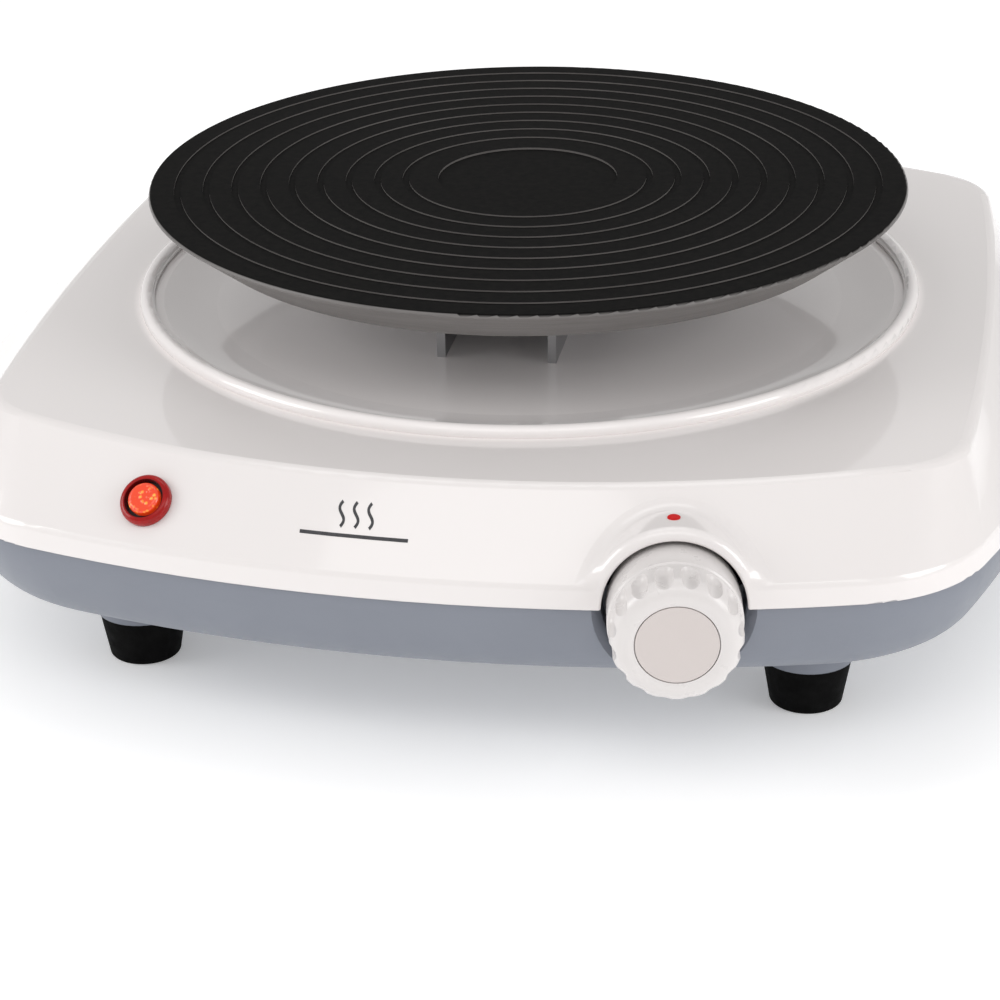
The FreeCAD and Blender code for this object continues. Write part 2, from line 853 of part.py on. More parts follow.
def make_support_channel():
    low = bowl_floor_z
    high = web_top_z
    outer = box(-channel_half_w, -channel_half_l, low, channel_half_w, channel_half_l, high)
    inner_w = channel_half_w - channel_t
    inner = box(-inner_w, -channel_half_l, low, inner_w, channel_half_l, high - channel_t)
    channel = outer.cut(inner)
    window_w = inner_w - window_edge
    under_web = high - 2 * channel_t
    for y in (window_y, -window_y):
        near = y - window_half_l
        far = y + window_half_l
        channel = channel.cut(box(-window_w, near, under_web, window_w, far, high + over))
    return channel.cut(cyl(stud_r + stud_clear, 4 * channel_t, V(0, 0, under_web)))


def make_centre_stud():
    top = plate_low_z + pocket_depth - stud_top_gap
    stud = cyl(stud_r, top - stud_low_z, V(0, 0, stud_low_z))
    return stud.makeChamfer(stud_chamfer, edges_at(stud, stud_low_z))


def make_shield_spacer():
    low = shield_z + shield_t
    return tube(stud_r + spacer_wall, stud_r + stud_clear, bowl_under_z - low, V(0, 0, low))


def make_heat_shield():
    pan = cyl(shield_r, shield_rim, V(0, 0, shield_z))
    pan = pan.cut(cyl(shield_r - shield_t, shield_rim, V(0, 0, shield_z + shield_t)))
    hole_z = shield_z - over
    hole_l = shield_t + 2 * over
    pan = pan.cut(cyl(stud_r + stud_clear, hole_l, V(0, 0, hole_z)))
    return tail_holes(pan, shield_hole_r, hole_z, hole_l)


def make_stud_washer():
    return tube(washer_r, stud_r + stud_clear, washer_t, V(0, 0, shield_z - washer_t))


def make_earth_tag():
    """Ring terminal clamped between the washer and the nut."""
    low = shield_z - washer_t - tag_t
    ring = cyl(tag_r, tag_t, V(0, 0, low))
    tongue = box(-tag_l, -tag_w / 2, low, 0, tag_w / 2, low + tag_t)
    tag = ring.fuse(tongue).cut(cyl(stud_r + stud_clear, tag_t, V(0, 0, low)))
    return tag.removeSplitter()


def make_stud_nut():
    low = shield_z - washer_t - tag_t - nut_h
    return hexagon(nut_af, nut_h, V(0, 0, low)).cut(cyl(stud_r, nut_h, V(0, 0, low)))


def make_tail_bushes():
    """Two ceramic bushes that carry the element's tails through the bowl."""
    bushes = []
    for side in (1, -1):
        at_x = side * element_gap_x
        low_z = bowl_under_z - bush_below
        body = cyl(bush_r, bush_body_l, V(at_x, element_end_y, low_z))
        head = cyl(bush_head_r, bush_head_h, V(at_x, element_end_y, bowl_floor_z))
        bore = cyl(element_cold_r, 2 * bush_body_l, V(at_x, element_end_y, low_z - over))
        bushes.append(body.fuse(head).cut(bore).removeSplitter())
    return Part.makeCompound(bushes)


def bracket_screw_spots():
    """The bracket's screws, in the knob's own frame."""
    y = bracket_y + bracket_screw_share * bracket_foot_l
    reach = bracket_half_w - bracket_screw_inset
    return [(-reach, y), (reach, y)]


def bracket_screw_places():
    """The bracket's screws, in the frame of the whole part."""
    spots = [point_at_knob(x, y, 0) for x, y in bracket_screw_spots()]
    return [(spot.x, spot.y) for spot in spots]


def make_thermostat_bracket():
    low = base_floor_z
    wide = bracket_half_w
    plate = box(-wide, bracket_y, low, wide, bracket_y + bracket_t, bracket_top_z)
    foot = box(-wide, bracket_y, low, wide, bracket_y + bracket_foot_l, low + bracket_t)
    bracket = plate.fuse(foot)
    before = bracket_y - bracket_t
    bracket = bracket.cut(depth_cyl(bush_thread_r + bush_thread_gap, 4 * bracket_t, before))
    for x, y in bracket_screw_spots():
        below = V(x, y, low - bracket_t)
        bracket = bracket.cut(cyl(tapping_r + bush_thread_gap, 4 * bracket_t, below))
    return at_knob(bracket.removeSplitter())


def make_bracket_screws():
    """Two tapping screws that hold the bracket's foot to the tray's floor."""
    screws = []
    seat = base_floor_z + bracket_t
    top = seat + tapping_head_h
    for x, y in bracket_screw_spots():
        head = cyl(tapping_head_r, tapping_head_h, V(x, y, seat))
        head = head.makeFillet(tapping_head_h / 3, edges_at(head, top))
        shank = cyl(tapping_r, bracket_t + tapping_depth, V(x, y, base_floor_z - tapping_depth))
        long = recess_half_l
        thin = recess_half_w
        slot = box(x - long, y - thin, top - tapping_slot, x + long, y + thin, top + over)
        screws.append(at_knob(head.fuse(shank).cut(slot)))
    return Part.makeCompound(screws)


def make_thermostat_body():
    wide = thermostat_half_w
    low = seam_z - thermostat_half_h
    high = seam_z + thermostat_half_h
    body = box(-wide, thermostat_front_y, low, wide, thermostat_back_y, high)
    corners = [e for e in body.Edges if abs(e.tangentAt(e.FirstParameter).y) > 0.99]
    body = body.makeFillet(thermostat_round, corners)
    bush_y = bracket_y - bush_thread_l
    body = body.fuse(depth_cyl(bush_thread_r, bush_thread_l + bracket_t, bush_y))
    body = body.cut(depth_cyl(spindle_r + spindle_clear, spindle_end_y - bush_y, bush_y))
    body = body.cut(depth_cyl(pin_r + spindle_clear, thermostat_back_y - spindle_end_y, spindle_end_y))
    return at_knob(body.removeSplitter())


def make_panel_nut():
    low = bracket_y - panel_nut_h
    nut = hexagon(panel_nut_af, panel_nut_h, V(0, low, seam_z), BACK)
    return at_knob(nut.cut(depth_cyl(bush_thread_r, panel_nut_h, low)))


def spindle_flat_box(y0, y1):
    """What the spindle's flat takes away, in the knob's own frame."""
    wide = 2 * spindle_r
    return box(-wide, y0, seam_z + spindle_flat, wide, y1, seam_z + wide)


def make_spindle():
    """Turned spindle with a flat for the knob."""
    spindle = depth_cyl(spindle_r, spindle_end_y - spindle_tip_y, spindle_tip_y)
    return at_knob(spindle.cut(spindle_flat_box(spindle_tip_y - over, knob_sink)))


def make_setting_pin():
    """Ceramic pin that the spindle's thread pushes towards the contact leaf."""
    return at_knob(depth_cyl(pin_r, pin_l, spindle_end_y))


def make_contact_leaf():
    """Sprung contact strip on the back of the thermostat, clear of the pin's travel."""
    near_y = spindle_end_y + pin_l + pin_travel
    foot_z = seam_z - thermostat_half_h + leaf_foot_up
    half_w = leaf_w / 2
    strip = box(-half_w, near_y, foot_z, half_w, near_y + leaf_t, seam_z + leaf_above)
    foot = box(-half_w, thermostat_back_y, foot_z, half_w, near_y + leaf_t, foot_z + leaf_t)
    return at_knob(strip.fuse(foot).removeSplitter())


def make_thermostat_blades():
    """Two tab terminals on the back of the thermostat."""
    blades = []
    low = blade_z - blade_t / 2
    for x in (blade_x, -blade_x):
        half_w = blade_w / 2
        back = thermostat_back_y + blade_l
        blades.append(at_knob(box(x - half_w, thermostat_back_y, low, x + half_w, back, low + blade_t)))
    return Part.makeCompound(blades)


def make_thermal_cutout():
    """Disc cut-out that sits against the underside of the heat shield."""
    at = V(cutout_x, cutout_y, shield_z - cutout_h)
    cap = cyl(cutout_cap_r, cutout_cap_h, V(cutout_x, cutout_y, shield_z - cutout_cap_h))
    blade_low = blade_z - blade_t / 2
    reach = cutout_r + cutout_blade_l
    half_w = blade_w / 2
    blades = box(-half_w, -reach, 0, half_w, reach, blade_t)
    blades.translate(V(cutout_x, cutout_y, blade_low))
    return fuse([cyl(cutout_r, cutout_h, at), cap, blades])


def knob_profile():
    """Knob section drawn in the XZ plane with Z as the distance in front of the back face."""
    neck = knob_r - knob_neck_step
    mid_x = knob_face_r + (neck - knob_face_r) * knob_dome_across
    mid_z = knob_shoulder_l + (knob_l - knob_shoulder_l) * knob_dome_along
    edge = knob_back_chamfer
    neck_z = knob_skirt_l + knob_neck_step
    return [
        line(0, 0, knob_r - edge, 0),
        line(knob_r - edge, 0, knob_r, edge),
        line(knob_r, edge, knob_r, knob_skirt_l),
        line(knob_r, knob_skirt_l, neck, neck_z),
        line(neck, neck_z, neck, knob_shoulder_l),
        arc(V(neck, 0, knob_shoulder_l), V(mid_x, 0, mid_z), V(knob_face_r, 0, knob_l)),
        line(knob_face_r, knob_l, 0, knob_l),
        line(0, knob_l, 0, 0),
    ]


def to_knob(shape):
    """Stand a piece that was drawn along Z on the knob's axis, pointing forwards."""
    stood = shape.copy()
    stood.Placement = FreeCAD.Placement(V(0, knob_sink, seam_z), FreeCAD.Rotation(UP, FRONT))
    return at_knob(stood)


def make_control_knob():
    knob = turned(knob_profile())
    for k in range(lobe_count):
        angle = 2 * math.pi * (k + 0.5) / lobe_count
        reach = knob_r - lobe_bite + lobe_r
        at = V(reach * math.cos(angle), reach * math.sin(angle), knob_skirt_l + lobe_r + lobe_start)
        knob = knob.cut(cyl(lobe_r, knob_l, at))
        knob = knob.cut(Part.makeSphere(lobe_r, at))
    knob = knob.cut(tube(knob_r - knob_wall, hub_r, knob_skirt_l + hub_clear_l, ORIGIN))
    knob = knob.cut(cyl(spindle_r, knob_l - knob_front_wall, ORIGIN))
    knob = knob.cut(cyl(knob_face_r - knob_face_edge, face_disc_t, V(0, 0, knob_l - face_disc_t)))
    key = depth_cyl(spindle_r, knob_sink - spindle_tip_y, spindle_tip_y)
    key = key.common(spindle_flat_box(spindle_tip_y, knob_sink))
    return to_knob(knob).fuse(at_knob(key)).removeSplitter()


def make_knob_face_disc():
    radius = knob_face_r - knob_face_edge - face_disc_gap
    return to_knob(cyl(radius, face_disc_t, V(0, 0, knob_l - face_disc_t)))


def make_knob_clip():
    """Spring band that closes the knob's hub on the spindle."""
    band = tube(hub_r + clip_t, hub_r, clip_w, V(0, 0, clip_start))
    slot = box(-clip_slot_half, -2 * hub_r, 0, clip_slot_half, 0, 2 * clip_w)
    return to_knob(band.cut(slot))


def round_rim(shape, radius, distance):
    """Round the rim of a lamp piece at a distance along the lamp's axis."""
    end = along_lamp(distance)
    rim = [e for e in shape.Edges if e.Closed and e.CenterOfMass.sub(end).Length < 0.1]
    return shape.makeFillet(radius, rim)


def make_lamp_bezel():
    """Red flanged lamp body whose barrel passes through the apron."""
    flange = cyl(lamp_flange_r, lamp_flange_h, along_lamp(0), lamp_axis)
    flange = round_rim(flange, lamp_flange_round, lamp_flange_h)
    barrel = cyl(lamp_barrel_r, lamp_barrel_l, along_lamp(-lamp_barrel_l), lamp_axis)
    body = flange.fuse(barrel)
    groove_at = along_lamp(lamp_flange_h - lamp_groove_depth)
    groove_r = lamp_lens_r + lamp_groove_w
    body = body.cut(cyl(groove_r, 2 * lamp_groove_depth, groove_at, lamp_axis))
    body = body.cut(cyl(lamp_lens_r, lamp_flange_h, along_lamp(0), lamp_axis))
    open_end = along_lamp(-lamp_barrel_l - over)
    bore_l = lamp_barrel_l + 2 * over
    bulb_bore = cyl(lamp_bulb_r + lamp_bulb_gap, bore_l, open_end, lamp_axis)
    return body.cut(bulb_bore).removeSplitter()


def make_lamp_lens():
    height = lamp_flange_h + lamp_lens_h
    lens = cyl(lamp_lens_r, height, along_lamp(0), lamp_axis)
    return round_rim(lens, lamp_lens_round, height)


def make_neon_bulb():
    bulb = cyl(lamp_bulb_r, lamp_bulb_l, along_lamp(-lamp_bulb_l - lamp_bulb_back), lamp_axis)
    return round_rim(bulb, lamp_bulb_round, -lamp_bulb_back)


def make_lamp_clip():
    at = along_lamp(-steel - lamp_clip_gap - lamp_clip_t)
    return tube(lamp_clip_r, lamp_barrel_r, lamp_clip_t, at, lamp_axis)


def make_indicator_dot():
    """Painted dot on the crown of the hood."""
    long = 4 * dot_r
    skin = depth_cyl(hood_r + dot_proud, long, dot_back - long / 2)
    skin = skin.cut(depth_cyl(hood_r, long, dot_back - long / 2))
    return at_knob(skin.common(cyl(dot_r, 2 * hood_r, V(0, dot_back, seam_z))))


def make_cord_gland():
    """Bush for the supply cord: flange, tapering nose and an inner barrel."""
    seat = V(gland_x, gland_seat_y, gland_z)
    inner_end = V(gland_x, gland_seat_y - gland_inside, gland_z)
    nose_at = V(gland_x, gland_seat_y + gland_flange_t, gland_z)
    flange = cyl(gland_flange_r, gland_flange_t, seat, BACK)
    nose = cone(gland_barrel_r, gland_nose_tip_r, gland_nose_l, nose_at, BACK)
    barrel = cyl(gland_barrel_r, gland_inside, inner_end, BACK)
    gland = fuse([flange, nose, barrel])
    bore_l = gland_inside + gland_flange_t + gland_nose_l
    return gland.cut(cyl(gland_bore_r, bore_l, inner_end, BACK))


def block_way(k):
    """Inner end of the lead in one way of the terminal block."""
    x = block_x + block_pitch * (k - (block_ways - 1) / 2)
    return V(x, block_y - block_w / 2 + block_way_l, base_floor_z + block_way_z)


def make_terminal_block():
    low = base_floor_z
    top = low + block_h
    half_l = block_ways * block_pitch / 2
    y0 = block_y - block_w / 2
    block = box(block_x - half_l, y0, low, block_x + half_l, y0 + block_w, top)
    for k in range(block_ways):
        x = block_way(k).x
        block = block.cut(cyl(block_way_r, block_w, V(x, y0, low + block_way_z), BACK))
        for step in (-block_screw_step, block_screw_step):
            block = block.cut(cyl(block_screw_r, block_h, V(x, block_y + step, top - block_screw_depth)))
    for k in range(1, block_ways):
        x = block_x - half_l + block_pitch * k
        half = block_groove_half
        block = block.cut(box(x - half, y0, top - block_groove_depth, x + half, y0 + block_w, top))
    return block


def blade_point(side, ahead=0.0):
    """End of a thermostat blade, or a point further back in line with it."""
    return point_at_knob(side * blade_x, thermostat_back_y + blade_l + ahead, blade_z)


def cutout_end(side):
    reach = cutout_r + cutout_blade_l
    return V(cutout_x, cutout_y + side * reach, blade_z)


def tail_end(side):
    return V(side * element_gap_x, element_end_y, element_tail_z)


def make_lead_live():
    start = block_way(1)
    turn = blade_point(-1, live_ahead)
    low_turn = V(turn.x, turn.y, start.z)
    route = [start, V(start.x, turn.y, start.z), low_turn, turn, blade_point(-1)]
    return wire_run(route, lead_r, lead_bend)


def make_lead_to_cutout():
    end = cutout_end(-1)
    route = [blade_point(1), blade_point(1, cutout_ahead), V(end.x, end.y - cutout_before, end.z), end]
    return wire_run(route, lead_r, lead_bend)


def make_lead_to_element():
    start = cutout_end(1)
    end = tail_end(1)
    route = [start, V(start.x, end.y, start.z), V(end.x, end.y, start.z), end]
    return wire_run(route, lead_r, tight_bend)


def make_lead_neutral():
    start = block_way(3)
    end = tail_end(-1)
    route = [start, V(start.x, end.y, start.z), V(end.x, end.y, start.z), end]
    return wire_run(route, lead_r, tight_bend)


def make_lead_earth():
    start = block_way(2)
    end = V(-tag_l, 0, shield_z - washer_t - tag_t)
    route = [start, V(start.x, 0, start.z), V(start.x, 0, end.z), end]
    return wire_run(route, lead_r, tight_bend)


def lamp_lead_point(side, distance):
    """A point on one of the lamp's two leads, at a distance along the lamp's axis."""
    sideways = UP.cross(lamp_axis).normalize()
    return along_lamp(distance).add(sideways.multiply(side * thin_lead_gap))


def make_lamp_lead_live():
    start = lamp_lead_point(1, -lamp_bulb_l - lamp_bulb_back)
    turn = lamp_lead_point(1, -lamp_barrel_l - lamp_live_back)
    depth = thermostat_front_y + lamp_live_up
    before = point_at_knob(-thermostat_half_w - lamp_live_side, depth, turn.z)
    route = [start, turn, before, point_at_knob(-thermostat_half_w, depth, turn.z)]
    return wire_run(route, thin_lead_r, thin_lead_bend)


def make_lamp_lead_neutral():
    start = lamp_lead_point(-1, -lamp_bulb_l - lamp_bulb_back)
    turn = lamp_lead_point(-1, -lamp_barrel_l - lamp_neutral_back)
    end = block_way(0)
    near = V(turn.x - lamp_neutral_side, turn.y + lamp_neutral_run, end.z)
    route = [start, turn, near, V(end.x, end.y - lamp_neutral_before, end.z), end]
    return wire_run(route, thin_lead_r, thin_lead_bend)


def main():
    os.makedirs("parts", exist_ok=True)
    element = make_heating_element()
    pieces = {
        "top_housing": make_top_housing(),
        "base_tray": make_base_tray(),
        "hot_plate": make_hot_plate(),
        "heating_element": element,
        "element_filler": make_element_filler(element),
        "plate_bottom_cover": make_plate_cover(),
        "plate_support_channel": make_support_channel(),
        "centre_stud": make_centre_stud(),
        "shield_spacer": make_shield_spacer(),
        "heat_shield": make_heat_shield(),
        "stud_washer": make_stud_washer(),
        "earth_tag": make_earth_tag(),
        "stud_nut": make_stud_nut(),
        "element_tail_bushes": make_tail_bushes(),
        "thermostat_bracket": make_thermostat_bracket(),
        "thermostat_body": make_thermostat_body(),
        "thermostat_blades": make_thermostat_blades(),
        "thermostat_nut": make_panel_nut(),
        "bracket_screws": make_bracket_screws(),
        "thermal_cutout": make_thermal_cutout(),
        "thermostat_spindle": make_spindle(),
        "setting_pin": make_setting_pin(),
        "contact_leaf": make_contact_leaf(),
        "control_knob": make_control_knob(),
        "knob_face_disc": make_knob_face_disc(),
        "knob_clip": make_knob_clip(),
        "lamp_bezel": make_lamp_bezel(),
        "lamp_lens": make_lamp_lens(),
        "neon_bulb": make_neon_bulb(),
        "lamp_clip": make_lamp_clip(),
        "indicator_dot": make_indicator_dot(),
        "cord_gland": make_cord_gland(),
        "terminal_block": make_terminal_block(),
        "lead_live": make_lead_live(),
        "lead_neutral": make_lead_neutral(),
        "lead_earth": make_lead_earth(),
        "lead_to_cutout": make_lead_to_cutout(),
        "lead_to_element": make_lead_to_element(),
        "lamp_lead_live": make_lamp_lead_live(),
        "lamp_lead_neutral": make_lamp_lead_neutral(),
        "foot_screws": make_foot_screws(),
        "housing_screws": make_housing_screws(),
    }
    foot_names = ["foot_back_right", "foot_front_right", "foot_back_left", "foot_front_left"]
    for name, (x, y) in zip(foot_names, four_corners(foot_x, foot_y)):
        pieces[name] = make_foot(x, y)
    for name, shape in pieces.items():
        print(name, shape.isValid(), len(shape.Solids), round(shape.Volume, 1))
        shape.exportStep("parts/" + name + ".step")


main()
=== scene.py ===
"""Looks for the portable hot plate: materials, small details, floor, light and camera."""

import json
import math

import bmesh
import bpy
from mathutils import Matrix, Vector


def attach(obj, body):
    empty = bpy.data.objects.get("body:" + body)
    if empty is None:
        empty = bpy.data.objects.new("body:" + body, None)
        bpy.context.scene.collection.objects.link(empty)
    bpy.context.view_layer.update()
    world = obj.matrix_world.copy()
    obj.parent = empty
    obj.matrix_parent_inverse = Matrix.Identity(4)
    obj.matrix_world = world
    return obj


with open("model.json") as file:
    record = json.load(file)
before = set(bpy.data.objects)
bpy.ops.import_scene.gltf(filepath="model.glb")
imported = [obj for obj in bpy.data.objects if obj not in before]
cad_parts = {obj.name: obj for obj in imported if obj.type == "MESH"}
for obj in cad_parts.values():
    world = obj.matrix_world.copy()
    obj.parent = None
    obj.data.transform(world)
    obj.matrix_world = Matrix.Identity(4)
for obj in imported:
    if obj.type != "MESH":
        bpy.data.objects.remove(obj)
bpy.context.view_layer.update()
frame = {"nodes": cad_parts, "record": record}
nodes = frame["nodes"]

# ---- camera: where it stands, what it looks at, and its lens ----
CAMERA_AZIMUTH = 10.465
CAMERA_ELEVATION = 25.316
CAMERA_ROLL = -0.896
CAMERA_DISTANCE = 0.750
CAMERA_TARGET = Vector((-0.0082, 0.0, 0.0033))
SENSOR = 36.0
LENS = 103.85


def make_camera():
    azimuth = math.radians(CAMERA_AZIMUTH)
    elevation = math.radians(CAMERA_ELEVATION)
    roll = math.radians(CAMERA_ROLL)
    back = Vector((
        math.sin(azimuth) * math.cos(elevation),
        -math.cos(azimuth) * math.cos(elevation),
        math.sin(elevation),
    ))
    right = Vector((math.cos(azimuth), math.sin(azimuth), 0))
    up = back.cross(right)
    x_axis = right * math.cos(roll) + up * math.sin(roll)
    y_axis = up * math.cos(roll) - right * math.sin(roll)
    place = CAMERA_TARGET + back * CAMERA_DISTANCE
    data = bpy.data.cameras.new("camera")
    data.lens = LENS
    data.sensor_width = SENSOR
    camera = bpy.data.objects.new("camera", data)
    columns = Matrix((x_axis, y_axis, back)).transposed().to_4x4()
    camera.matrix_world = Matrix.Translation(place) @ columns
    bpy.context.scene.collection.objects.link(camera)
    bpy.context.scene.camera = camera


# ---- node helpers ----


class Shader:
    """A material under construction: a Principled shader and short ways to add nodes to it."""

    def __init__(self, name, color, roughness=0.5, metallic=0.0, **sockets):
        self.material = bpy.data.materials.new(name)
        self.material.use_nodes = True
        self.tree = self.material.node_tree
        self.principled = self.tree.nodes["Principled BSDF"]
        self.set("Base Color", (*color, 1.0))
        self.set("Roughness", roughness)
        self.set("Metallic", metallic)
        for key, value in sockets.items():
            self.set(key.replace("_", " ").title().replace("Ior", "IOR"), value)
        self.coordinates = self.add("ShaderNodeTexCoord").outputs["Object"]

    def set(self, socket, value):
        self.principled.inputs[socket].default_value = value

    def add(self, kind, **settings):
        node = self.tree.nodes.new(kind)
        for key, value in settings.items():
            setattr(node, key, value)
        return node

    def link(self, output, target):
        self.tree.links.new(output, target)

    def noise(self, scale, detail=3.0, roughness=0.55, stretch=None):
        node = self.add("ShaderNodeTexNoise")
        node.inputs["Scale"].default_value = scale
        node.inputs["Detail"].default_value = detail
        node.inputs["Roughness"].default_value = roughness
        source = self.coordinates
        if stretch:
            mapping = self.add("ShaderNodeMapping")
            mapping.inputs["Scale"].default_value = stretch
            self.link(source, mapping.inputs["Vector"])
            source = mapping.outputs["Vector"]
        self.link(source, node.inputs["Vector"])
        return node.outputs["Fac"]

    def span(self, value, low, high, from_low=0.3, from_high=0.7):
        node = self.add("ShaderNodeMapRange")
        node.inputs["From Min"].default_value = from_low
        node.inputs["From Max"].default_value = from_high
        node.inputs["To Min"].default_value = low
        node.inputs["To Max"].default_value = high
        self.link(value, node.inputs["Value"])
        return node.outputs["Result"]

    def math(self, operation, first, second=None):
        node = self.add("ShaderNodeMath", operation=operation)
        for socket, value in zip(node.inputs, (first, second)):
            if value is None:
                continue
            if isinstance(value, (int, float)):
                socket.default_value = value
            else:
                self.link(value, socket)
        return node.outputs[0]

    def ramp(self, value, stops):
        node = self.add("ShaderNodeValToRGB")
        elements = node.color_ramp.elements
        while len(elements) < len(stops):
            elements.new(0.5)
        for element, (place, color) in zip(elements, stops):
            element.position = place
            element.color = (*color, 1.0)
        self.link(value, node.inputs["Fac"])
        return node.outputs["Color"]

    def mix(self, factor, first, second):
        node = self.add("ShaderNodeMix", data_type="RGBA")
        self.link(factor, node.inputs["Factor"])
        for socket, value in zip((node.inputs[6], node.inputs[7]), (first, second)):
            if isinstance(value, tuple):
                socket.default_value = (*value, 1.0)
            else:
                self.link(value, socket)
        return node.outputs[2]

    def color(self, output):
        self.link(output, self.principled.inputs["Base Color"])

    def rough(self, output):
        self.link(output, self.principled.inputs["Roughness"])

    def bump(self, height, strength, distance):
        node = self.add("ShaderNodeBump")
        node.inputs["Strength"].default_value = strength
        node.inputs["Distance"].default_value = distance
        self.link(height, node.inputs["Height"])
        self.link(node.outputs["Normal"], self.principled.inputs["Normal"])

    def separate(self, vector):
        node = self.add("ShaderNodeSeparateXYZ")
        self.link(vector, node.inputs["Vector"])
        return node.outputs

    def radius(self):
        """Distance from the plate's axis."""
        parts = self.separate(self.coordinates)
        squares = [self.math("POWER", parts[axis], 2.0) for axis in ("X", "Y")]
        return self.math("SQRT", self.math("ADD", *squares))


def tinted(color, factor):
    return tuple(channel * factor for channel in color)


# ---- materials ----

# Enamel inside this radius, the bowl and its bead, is painted a little lighter than the rest: painted
# light, standing in for the light that reaches under the plate.
BOWL_EDGE = 0.0965
BOWL_BLEND = 0.002
BOWL_PAINTED_LIGHT = 1.17
# Where the lamp's axis meets the apron, and the axis itself.
LAMP_PLACE = (-0.0645, -0.12006, 0.0553)
LAMP_AXIS = (-0.1545, -0.6750, 0.7215)
# The bezel is painted dark, as painted shade in the sunk groove round the lens, up to the first radius
# from that axis, and red beyond the second.
RING_SHADE_R = 0.0044
RING_RED_R = 0.0047


def enamel(name, color):
    """Stoved white enamel: deep gloss, faint orange peel, and painted light in the bowl, whose colour is
    made lighter.
    """
    s = Shader(name, color, 0.34, coat_weight=1.0, coat_roughness=0.07, coat_ior=1.5)
    drift = s.noise(7.0, 2.0, 0.4)
    outer = s.mix(s.span(drift, 0.0, 1.0, 0.2, 0.8), tinted(color, 0.992), color)
    outside = s.span(s.radius(), 0.0, 1.0, BOWL_EDGE, BOWL_EDGE + BOWL_BLEND)
    # Painted light: the bowl and its bead get a lighter colour than the enamel outside them.
    s.color(s.mix(outside, tinted(color, BOWL_PAINTED_LIGHT), outer))
    s.rough(s.span(s.noise(25.0, 3.0), 0.31, 0.37, 0.2, 0.8))
    s.bump(s.noise(260.0, 2.0, 0.4), 0.04, 0.0004)
    return s.material


def moulded(name, color, roughness, grain=2600.0, depth=0.00006, variation=0.06, **sockets):
    """Moulded plastic: fine spark-eroded texture and slight colour drift."""
    s = Shader(name, color, roughness, **sockets)
    drift = s.noise(22.0, 4.0)
    s.color(s.mix(s.span(drift, 0.0, 1.0), tinted(color, 1.0 - variation), color))
    s.rough(s.span(s.noise(140.0, 4.0), roughness - 0.05, roughness + 0.05))
    s.bump(s.noise(grain, 3.0), 0.5, depth)
    return s.material


def rolled_metal(name, color, roughness, stretch=(1.0, 30.0, 30.0), spots=0.1):
    """Sheet or turned metal with fine directional lines and uneven tone."""
    s = Shader(name, color, roughness, 1.0)
    lines = s.noise(160.0, 5.0, 0.6, stretch)
    s.color(s.mix(s.span(s.noise(70.0, 5.0), 0.0, 1.0), tinted(color, 1.0 - spots), color))
    s.rough(s.span(lines, roughness - 0.08, roughness + 0.1))
    s.bump(lines, 0.25, 0.00005)
    return s.material


def cast_iron(name, color):
    """Cast plate: black baked coating on top, bare turned metal on the conical side."""
    s = Shader(name, color, 0.55, 0.0)
    geometry = s.add("ShaderNodeNewGeometry")
    upward = s.separate(geometry.outputs["Normal"])["Z"]
    on_top = s.span(upward, 0.0, 1.0, 0.75, 0.9)
    height = s.separate(s.coordinates)["Z"]
    turning = s.noise(900.0, 4.0, 0.6, (0.05, 0.05, 1.0))
    side_color = s.mix(s.span(turning, 0.0, 1.0), (0.115, 0.108, 0.104), (0.165, 0.155, 0.150))
    top_color = s.mix(s.span(s.noise(500.0, 6.0), 0.0, 1.0), (0.002, 0.002, 0.002), (0.006, 0.0055, 0.005))
    s.color(s.mix(on_top, side_color, top_color))
    s.rough(s.span(on_top, 0.42, 0.78, 0.0, 1.0))
    s.link(s.span(on_top, 0.5, 0.08, 0.0, 1.0), s.principled.inputs["Specular IOR Level"])
    grain = s.noise(1500.0, 6.0, 0.65)
    rings = s.noise(700.0, 3.0, 0.5, (0.02, 0.02, 1.0))
    s.bump(s.math("ADD", grain, s.math("MULTIPLY", rings, 0.6)), 0.35, 0.00012)
    return s.material


def rubber(name, color):
    """Black rubber: matt, with slightly uneven tone."""
    s = Shader(name, color, 0.75, specular_ior_level=0.06)
    s.color(s.mix(s.span(s.noise(180.0, 6.0), 0.0, 1.0), tinted(color, 0.7), tinted(color, 1.5)))
    s.rough(s.span(s.noise(420.0, 4.0), 0.62, 0.85))
    s.bump(s.noise(2400.0, 4.0), 0.5, 0.0001)
    return s.material


def lens_plastic(name, color, glow):
    """Pebbled lens that glows as if the neon lamp behind it were lit."""
    s = Shader(name, color, 0.18, coat_weight=0.6, coat_roughness=0.05)
    cells = s.add("ShaderNodeTexVoronoi")
    cells.inputs["Scale"].default_value = 900.0
    s.link(s.coordinates, cells.inputs["Vector"])
    spots = s.span(cells.outputs["Distance"], 1.0, 0.0, 0.05, 0.45)
    bright = s.math("MULTIPLY", spots, s.span(s.noise(420.0, 1.0), 0.0, 1.0, 0.42, 0.62))
    s.color(s.mix(bright, (0.50, 0.035, 0.006), (0.90, 0.42, 0.05)))
    s.link(s.mix(bright, (0.80, 0.045, 0.006), (1.0, 0.38, 0.02)), s.principled.inputs["Emission Color"])
    s.set("Emission Strength", glow)
    s.bump(spots, 0.5, 0.0003)
    return s.material


